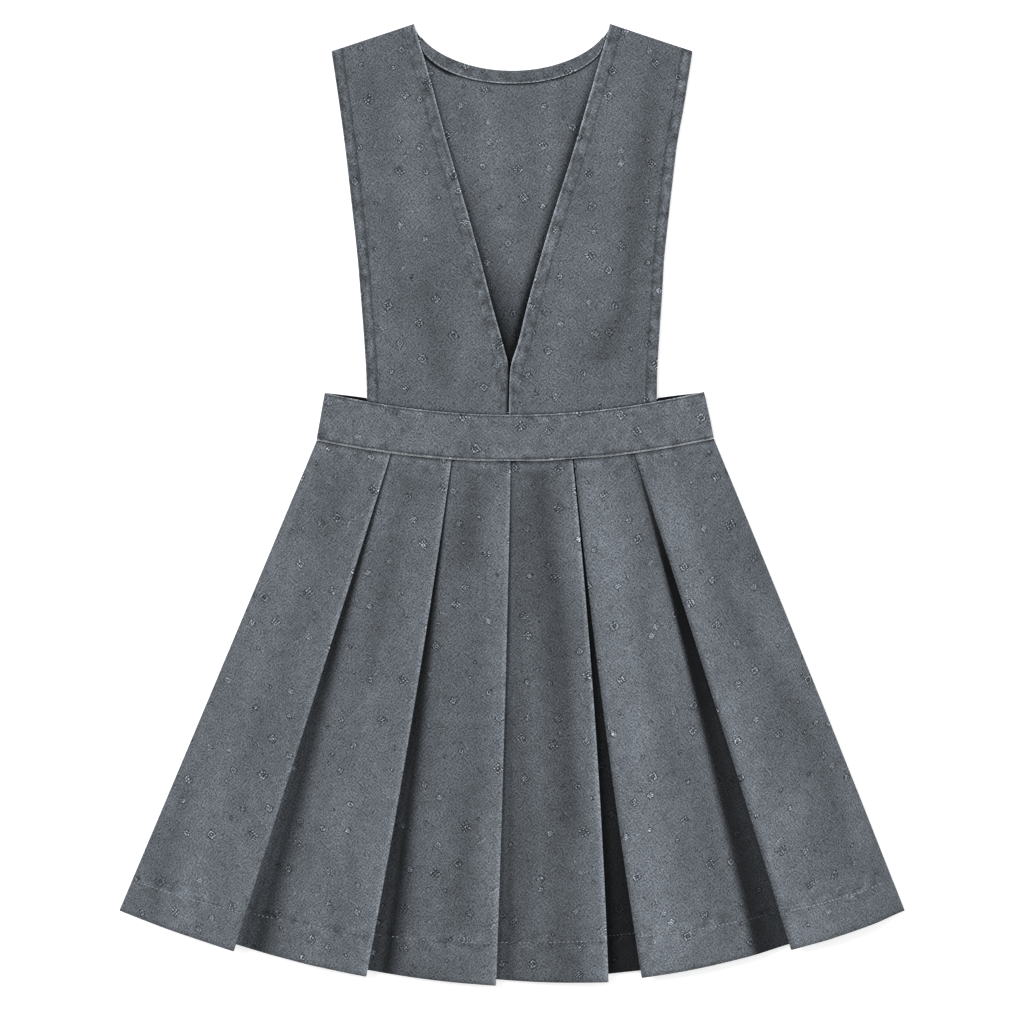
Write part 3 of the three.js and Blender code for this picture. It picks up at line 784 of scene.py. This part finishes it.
class Value:
    """A number in a shader. Each operator on it adds a Math node."""

    def __init__(self, shader, socket):
        self.shader = shader
        self.socket = socket

    def maths(self, operation, *others):
        inputs = dict(enumerate((self, *others)))
        return self.shader.add("ShaderNodeMath", inputs, {"operation": operation})

    def __add__(self, other):
        return self.maths("ADD", other)

    def __sub__(self, other):
        return self.maths("SUBTRACT", other)

    def __mul__(self, other):
        return self.maths("MULTIPLY", other)

    def __abs__(self):
        return self.maths("ABSOLUTE")

    def __lt__(self, other):
        return self.maths("LESS_THAN", other)

    def __gt__(self, other):
        return self.maths("GREATER_THAN", other)

    def __rsub__(self, other):
        return self.shader.add("ShaderNodeMath", {0: other, 1: self}, {"operation": "SUBTRACT"})

    __radd__ = __add__
    __rmul__ = __mul__

    def low_of(self, other):
        return self.maths("MINIMUM", other)

    def high_of(self, other):
        return self.maths("MAXIMUM", other)

    def fade(self, start, end):
        """1 up to start, then softly down to 0 at end."""
        inputs = {"Value": self, "From Min": start, "From Max": end, "To Min": 1.0, "To Max": 0.0}
        return self.shader.add("ShaderNodeMapRange", inputs, {"interpolation_type": "SMOOTHSTEP"})


class Shader:
    """A material whose nodes are added by one method."""

    def __init__(self, name):
        self.material = bpy.data.materials.new(name)
        self.material.use_nodes = True
        self.tree = self.material.node_tree
        self.surface = self.tree.nodes["Principled BSDF"]

    def add(self, kind, inputs=None, settings=None, output=0):
        node = self.tree.nodes.new(kind)
        for key, value in (settings or {}).items():
            setattr(node, key, value)
        for key, value in (inputs or {}).items():
            self.plug(node.inputs[key], value)
        return Value(self, node.outputs[output])

    def plug(self, socket, value):
        if isinstance(value, Value):
            self.tree.links.new(value.socket, socket)
        else:
            socket.default_value = value

    def set_surface(self, values):
        """Sets or links sockets of the surface."""
        for name, value in values.items():
            self.plug(self.surface.inputs[name], value)

    def tinted(self, colour, tone):
        return self.add("ShaderNodeVectorMath", {0: colour, "Scale": tone}, {"operation": "SCALE"})

    def attribute(self, name):
        return self.add("ShaderNodeAttribute", settings={"attribute_name": name}, output="Fac")

    def noise(self, vector, scale, detail=2.0, roughness=0.5):
        inputs = {"Vector": vector, "Scale": scale, "Detail": detail, "Roughness": roughness}
        return self.add("ShaderNodeTexNoise", inputs, {"noise_dimensions": "2D"})

    def stretched(self, vector, scale_x, scale_y, turn=0.0):
        """The cloth's places turned and scaled, so that a pattern over them is stretched."""
        inputs = {"Vector": vector, "Rotation": (0, 0, turn), "Scale": (1 / scale_x, 1 / scale_y, 1)}
        return self.add("ShaderNodeMapping", inputs, {"vector_type": "TEXTURE"})


def scattered(shader, cut, spacing, wander):
    """Uneven cells over the cloth: the place in each in millimetres, turned its own way, and its picks."""
    inputs = {"Vector": cut, "Scale": 1 / (spacing * MM), "Randomness": wander}
    centre = shader.add("ShaderNodeTexVoronoi", inputs, {"voronoi_dimensions": "2D"}, "Position")
    random_colour = Value(shader, centre.socket.node.outputs["Color"])
    parts = shader.add("ShaderNodeSeparateColor", {0: random_colour}).socket.node
    picks = [Value(shader, parts.outputs[k]) for k in range(3)]
    away = shader.add("ShaderNodeVectorMath", {0: cut, 1: centre}, {"operation": "SUBTRACT"})
    inputs = {"Vector": away, "Angle": (picks[1] > 0.5) * (PI / 2) + picks[2] * 0.5 + 0.5}
    turned = shader.add("ShaderNodeVectorRotate", inputs, {"rotation_type": "Z_AXIS"})
    place = shader.add("ShaderNodeSeparateXYZ", {0: turned}).socket.node
    x, y = (Value(shader, place.outputs[k]) * (1 / MM) for k in range(2))
    return x, y, picks


def woven_figures(shader, cut):
    """Small woven figures scattered over the cloth: their light threads, and a ring of painted shade round
    them.
    """
    x, y, picks = scattered(shader, cut, FIGURE_SPACING, 0.9)
    wobble = shader.noise(cut, 800, 0.0) - 0.5
    x = x + wobble * 1.6
    y = y - wobble * 1.3
    size = picks[2] * 1.3 + 1.25
    across, along = abs(x), abs(y)
    reach = across.high_of(along)
    square = abs(reach - size * 0.85).low_of(reach)
    ring = abs((x * x + y * y).maths("SQRT") - size * 0.6)
    pitch = size * 0.44
    dots = x.maths("PINGPONG", pitch).high_of(y.maths("PINGPONG", pitch)).high_of(reach - size) * 0.72
    bars = across.low_of(abs(across - size * 0.8)).high_of(along - size)
    speck = abs(x - 0.5).high_of(along - 0.5)
    kind = picks[0]
    kinds = (
        (square, (kind > 0.1) * (kind < 0.26)),
        (ring, (kind > 0.26) * (kind < 0.4)),
        (dots, (kind > 0.4) * (kind < 0.62)),
        (bars, (kind > 0.62) * (kind < 0.78)),
        (speck, kind > 0.78),
    )
    distance = sum(field * chosen for field, chosen in kinds) + (kind < 0.1) * 9
    strands = shader.noise(cut, 1100, 0.0)
    light = distance.fade(0.25, 0.55) * strands.fade(0.42, 0.66)
    figure_shade = abs(distance - 0.8).fade(0.25, 0.5) * (reach < size + 0.9)
    return light * (0.6 + picks[1] * 0.6), figure_shade * (0.3 + strands * 0.8)


def slub_lines(shader, cut):
    """Fine uneven lines where a thicker yarn crosses the cloth: the yarn lighter, a painted shadow beside it.
    """
    x, y, picks = scattered(shader, cut, SLUB_SPACING, 1.0)
    waver = (shader.noise(cut, 210, 1.0) - 0.5) * 5
    line = y + waver
    dashes = shader.noise(cut, 620, 0.0).fade(0.46, 0.38)
    shown = (abs(x) < picks[2] * 6 + 2) * (picks[0] > 0.25) * dashes
    return abs(line).fade(0.2, 0.6) * shown, abs(line + 0.8).fade(0.2, 0.6) * shown


def cloth_material():
    """Washed grey twill of mixed fibres, with small figures woven in."""
    shader = Shader("washed grey twill")
    cut = shader.add("ShaderNodeUVMap", settings={"uv_map": "cut"})
    painted_light, deep, seam, sewn = (shader.attribute(name) for name in ("painted_light", "deep", "seam", "sewn"))
    light, dark = woven_figures(shader, cut)
    slub, slub_shadow = slub_lines(shader, cut)
    warp = shader.noise(shader.stretched(cut, 1500, 260), 1.0, 2.0)
    weft = shader.noise(shader.stretched(cut, 300, 1400), 1.0, 2.0)
    twill = shader.noise(shader.stretched(cut, 1250, 560, math.radians(45)), 1.0, 1.0)
    counter = shader.noise(shader.stretched(cut, 1250, 560, math.radians(-45)), 1.0, 1.0)
    flecks = shader.noise(cut, 2100, 1.0, 0.6)
    place = shader.add("ShaderNodeSeparateXYZ", {0: cut}).socket.node
    turns = [Value(shader, place.outputs[k]) * (2 * PI / (TWILL_REPEAT * MM)) for k in range(2)]
    wavers = [shader.noise(cut, scale, 1.0) * 12 for scale in (160, 134)]
    checks = (turns[0] + wavers[0]).maths("SINE") * (turns[1] + wavers[1]).maths("SINE")
    clouds = shader.noise(shader.stretched(cut, 26, 15), 1.0, 3.0)
    blotches = shader.noise(cut, 125, 2.0, 0.55)

    tone = 1 + (warp - 0.5) * 0.22 + (weft - 0.5) * 0.22 + (twill - 0.5) * 1.1 + (counter - 0.5) * 1.0
    tone = tone + (flecks - 0.5) * 2.6 + checks * 0.35
    tone = tone * (1 + (clouds - 0.5) * 0.45)
    tone = tone * (1 + seam * (blotches - 0.5) * 1.9)
    # The figures' light threads, and a ring of painted shade round them
    tone = tone * (1 + light * 2.5) * (1 - dark * 0.88)
    # The thicker yarns lighter, with a painted shadow along one side
    tone = tone * (1 + slub * 0.7) * (1 - slub_shadow * 0.45)
    # Painted shade of the needle holes: darker dashes along the stitch lines
    tone = tone * (1 - sewn * (0.2 + flecks * 0.6))
    # Painted light and painted shade, carried by each piece's attributes
    tone = tone * (1 + painted_light * 0.7) * (1 - deep * 0.97)
    tone = tone.high_of(0.02)

    thread = (warp - 0.5) * 0.09 + (weft - 0.5) * 0.08 + (twill - 0.5) * 0.06
    relief = thread + (light - dark * 0.5) * 0.2 + seam * (blotches - 0.5) * 1.1 + (clouds - 0.5) * 0.5
    crinkle = shader.noise(shader.stretched(cut, 90, 150, math.radians(35)), 1.0, 2.0)
    relief = relief + (crinkle - 0.5) * 0.3 + slub * 0.12
    bump = shader.add("ShaderNodeBump", {"Height": relief, "Distance": MM, "Strength": 1.0})
    shader.set_surface({
        "Base Color": shader.tinted((0.116, 0.129, 0.146), tone), "Normal": bump, "Roughness": 0.94,
        "Specular IOR Level": 0.15, "Sheen Weight": 0.04, "Sheen Roughness": 0.5,
    })
    return shader.material


def thread_material(name, colour):
    shader = Shader(name)
    place = shader.add("ShaderNodeTexCoord", output="Object")
    fibres = shader.add("ShaderNodeTexNoise", {"Vector": place, "Scale": 1400, "Detail": 1.0})
    bump = shader.add("ShaderNodeBump", {"Height": fibres, "Distance": 0.06 * MM, "Strength": 1.0})
    shader.set_surface({
        "Base Color": shader.tinted(colour, 0.75 + fibres * 0.5), "Normal": bump, "Roughness": 0.8,
    })
    return shader.material


def walk(line, pitch):
    """Points and directions at an even pitch along a line of points."""
    line = [Vector((x, y, 0)) for x, y in line]
    left = pitch / 2
    for here, there in zip(line, line[1:]):
        length = (there - here).length
        way = (there - here) / max(length, 1e-9)
        while left < length:
            yield here + way * left, way
            left += pitch
        left -= length


def stitch_rows(name, rows, material):
    """Sewn threads: each row is a line over a piece of cloth, looked for from above or from below."""
    rng = random.Random(7)
    bm = bmesh.new()
    graph = bpy.context.evaluated_depsgraph_get()
    trees = {}
    for row in rows:
        cloth = row["cloth"]
        if cloth.name not in trees:
            trees[cloth.name] = BVHTree.FromObject(cloth, graph)
        thick = row.get("thick", 0.3)
        facing = -1 if row.get("below") else 1
        kept = row.get("kept", 1)
        for place, way in walk(row["line"], row.get("pitch", 2.9)):
            start = Vector((place.x * MM, place.y * MM, 0.1 * facing))
            hit, normal, _, _ = trees[cloth.name].ray_cast(start, Vector((0, 0, -facing)))
            if hit is None or rng.random() > kept:
                continue
            if normal.z * facing < 0:
                normal = -normal
            along = (way - normal * way.dot(normal)).normalized()
            side = normal.cross(along)
            turn = Matrix((along, side, normal)).transposed().to_4x4()
            tilt = Matrix.Rotation(rng.uniform(-0.12, 0.12), 4, "Z")
            size = Matrix.Diagonal((STITCH_LENGTH / 2 * rng.uniform(0.86, 1.08), thick, thick * 0.75, 1))
            spot = Matrix.Translation(hit + normal * thick * 0.25 * MM)
            matrix = spot @ turn @ tilt @ size @ Matrix.Scale(MM, 4)
            bmesh.ops.create_uvsphere(bm, u_segments=6, v_segments=5, radius=1, matrix=matrix)
    for face in bm.faces:
        face.smooth = True
    return add_piece(name, bm, material)


def edge_line(edges, key, inward, start=0.0, end=1.0):
    """A line inside one edge of a bodice front, following it."""
    line = [row[key] for row in edges]
    points = [smooth_line(line, part) for part in np.linspace(start, end, 90)]
    inside = []
    for before, after in zip(points, points[1:]):
        way = (after - before) / np.hypot(*(after - before))
        inside.append((before[0] - way[1] * inward, before[1] + way[0] * inward))
    return inside


def band_line(edge, inside):
    xs = np.linspace(edge["left"], edge["right"], 80) * 0.985
    return [(x, dipping(edge, x) + inside) for x in xs]


def hem_line(inset, start=-HEM_HALF_WIDTH * 0.94, end=HEM_HALF_WIDTH * 0.94):
    xs = np.linspace(start, end, 160)
    return [(x, hem_edge(x) + inset - 3.5 * (x / HEM_HALF_WIDTH) ** 2) for x in xs]


def studio():
    """A pale floor, soft light from above and a camera looking straight down."""
    bm = bmesh.new()
    bmesh.ops.create_grid(bm, x_segments=1, y_segments=1, size=4)
    bmesh.ops.translate(bm, verts=bm.verts, vec=(0, 0, -0.3 * MM))
    shader = Shader("pale floor")
    shader.set_surface({
        "Base Color": (0.9, 0.9, 0.9, 1), "Roughness": 1.0, "Specular IOR Level": 0.0,
        "Emission Color": (1, 1, 1, 1), "Emission Strength": 0.52,
    })
    add_piece("floor", bm, shader.material)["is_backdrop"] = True

    world = bpy.data.worlds.new("studio")
    world.use_nodes = True
    world.node_tree.nodes["Background"].inputs["Color"].default_value = (1, 1, 1, 1)
    world.node_tree.nodes["Background"].inputs["Strength"].default_value = 0.5
    bpy.context.scene.world = world

    lamps = (
        {"name": "key light", "azimuth": 140, "height": 50, "power": 1.93, "soft": 28},
        {"name": "fill light", "azimuth": 20, "height": 66, "power": 0.35, "soft": 50},
    )
    for lamp in lamps:
        light = bpy.data.lights.new(lamp["name"], "SUN")
        light.energy = lamp["power"]
        light.angle = math.radians(lamp["soft"])
        stand = bpy.data.objects.new(lamp["name"], light)
        around, tilt = math.radians(lamp["azimuth"]), math.radians(lamp["height"])
        level = math.cos(tilt)
        towards = Vector((math.cos(around) * level, math.sin(around) * level, math.sin(tilt)))
        stand.rotation_mode = "QUATERNION"
        stand.rotation_quaternion = towards.to_track_quat("Z", "Y")
        bpy.context.scene.collection.objects.link(stand)

    image_pixels = 1024
    dress_middle_pixel = 504
    pixel = 0.73 * MM
    view_width = image_pixels * pixel
    centre_y = (dress_middle_pixel - image_pixels / 2) * pixel
    cloth_height = 6 * MM
    lens = bpy.data.cameras.new("camera")
    lens.lens = 135
    lens.sensor_width = 36
    lens.clip_end = 20
    camera = bpy.data.objects.new("camera", lens)
    camera.location = (0, centre_y, cloth_height + lens.lens / lens.sensor_width * view_width)
    bpy.context.scene.collection.objects.link(camera)
    bpy.context.scene.camera = camera
    bpy.context.scene.view_settings.view_transform = "Standard"


studio()
twill = cloth_material()
# The topstitching's thread is painted dark, as the shade of its needle holes; the hem's stays pale
shade_dark_thread = thread_material("sewing thread painted dark as shade", (0.062, 0.069, 0.078))
pale_thread = thread_material("pale sewing thread", (0.33, 0.35, 0.38))

# The pieces of cloth, under the names of their solids
pieces = {
    "skirt_back": lay_cloth("cloth_skirt_back", back_skirt_sheet(), CLOTH, twill),
    "bodice_back": lay_cloth("cloth_bodice_back", back_sheet(), CLOTH, twill),
    "waistband_back": lay_cloth(
        "cloth_waistband_back",
        band_sheet(inset=0.4, top_shows=BACK_BAND_SHOWS, seed=5.1, rows=18, edge_painted_light=0, shaded_top=1),
        BAND,
        twill,
    ),
    "back_neck_facing": lay_cloth("cloth_back_neck_facing", facing_sheet(), CLOTH, twill),
    "bodice_front_left": lay_cloth("cloth_front_left", front_sheet(LEFT_FRONT, 1.3, 0.0, 0.95), CLOTH, twill),
    "bodice_front_right": lay_cloth(
        "cloth_front_right",
        {key: values[:, ::-1] for key, values in front_sheet(RIGHT_FRONT, 2.6, 0.6, 0.0).items()},
        CLOTH,
        twill,
    ),
    "skirt_front": lay_cloth("cloth_skirt_front", front_skirt_sheet(), CLOTH, twill),
    "waistband_front": lay_cloth("cloth_waistband_front", front_band_sheet(), BAND, twill),
}

# The sewn threads: the piece that each group is sewn through, and its rows
stitching = {
    "stitches_front_left": ["bodice_front_left", (
        {"line": edge_line(LEFT_FRONT, "arm", ARMHOLE_HEM - 0.6)},
        {"line": edge_line(LEFT_FRONT, "neck", 0.6 - NECK_HEM, 0, 0.92)},
    )],
    "stitches_front_right": ["bodice_front_right", (
        {"line": edge_line(RIGHT_FRONT, "arm", 0.6 - ARMHOLE_HEM)},
        {"line": edge_line(RIGHT_FRONT, "neck", NECK_HEM - 0.6, 0, 0.92)},
        {"line": [(-1.5, 97.5), (9, 93.6)], "pitch": 1.6},
    )],
    "stitches_waistband": ["waistband_front", (
        {"line": band_line(BAND_TOP, -1.6), "thick": 0.4},
        {"line": band_line(BAND_LOW, 1.7), "thick": 0.4},
    )],
    "stitches_waistband_back": ["waistband_back", (
        {"line": band_line(BAND_TOP, -1.6), "below": True},
        {"line": band_line(BAND_LOW, 1.6), "below": True},
    )],
    "stitches_skirt_front": ["skirt_front", (
        {"line": hem_line(HEM_TURN_UP, end=69), "pitch": 3.2, "thick": 0.26, "kept": 0.7},
        {"line": hem_line(HEM_TURN_UP, 93, 166), "pitch": 3.0, "thick": 0.36, "kept": 0.9},
        {"line": hem_line(HEM_TURN_UP, start=202), "pitch": 2.8, "thick": 0.46, "kept": 0.95},
    )],
    "stitches_skirt_pleats": ["skirt_front", (
        {"line": hem_line(HEM_TURN_UP + 2, 70, 92), "kept": 0.6},
        {"line": hem_line(HEM_TURN_UP, 167, 202), "kept": 0.6},
    )],
    "stitches_skirt_back": [
        "skirt_back", ({"line": hem_line(HEM_TURN_UP + 1), "pitch": 4.0, "below": True},)
    ],
}
sewn = {}
for name, (node, rows) in stitching.items():
    thread = pale_thread if name in ("stitches_skirt_front", "stitches_skirt_back") else shade_dark_thread
    sewn[name] = stitch_rows(name, [{**row, "cloth": pieces[node]} for row in rows], thread)

# What each piece was cut to, its area and what it lies on
cuts = {
    "skirt_back": {"flat": (0.94, 0.40), "area": 0.26, "rests_on": ["floor"]},
    "bodice_back": {"flat": (0.264, 0.285), "area": 0.06, "rests_on": ["floor"]},
    "waistband_back": {"flat": (0.291, 0.036), "area": 0.0095, "rests_on": ["floor"]},
    "back_neck_facing": {"flat": (0.16, 0.02), "area": 0.0012, "rests_on": ["bodice_back"]},
    "bodice_front_left": {"flat": (0.13, 0.288), "area": 0.023, "rests_on": ["bodice_back"]},
    "bodice_front_right": {"flat": (0.135, 0.288), "area": 0.023, "rests_on": ["bodice_back"]},
    "skirt_front": {"flat": (0.95, 0.40), "area": 0.27, "rests_on": ["skirt_back"]},
    "waistband_front": {"flat": (0.291, 0.036), "area": 0.0095, "rests_on": ["waistband_back"]},
}
for node, piece in pieces.items():
    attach(piece, "root")
    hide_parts(node)
for piece in sewn.values():
    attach(piece, "root")
for node, cut in cuts.items():
    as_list(cut["rests_on"])

boxes = {"cad": cad_box, "visual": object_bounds()}
{key: [list(corner) for corner in box] for key, box in boxes.items()}
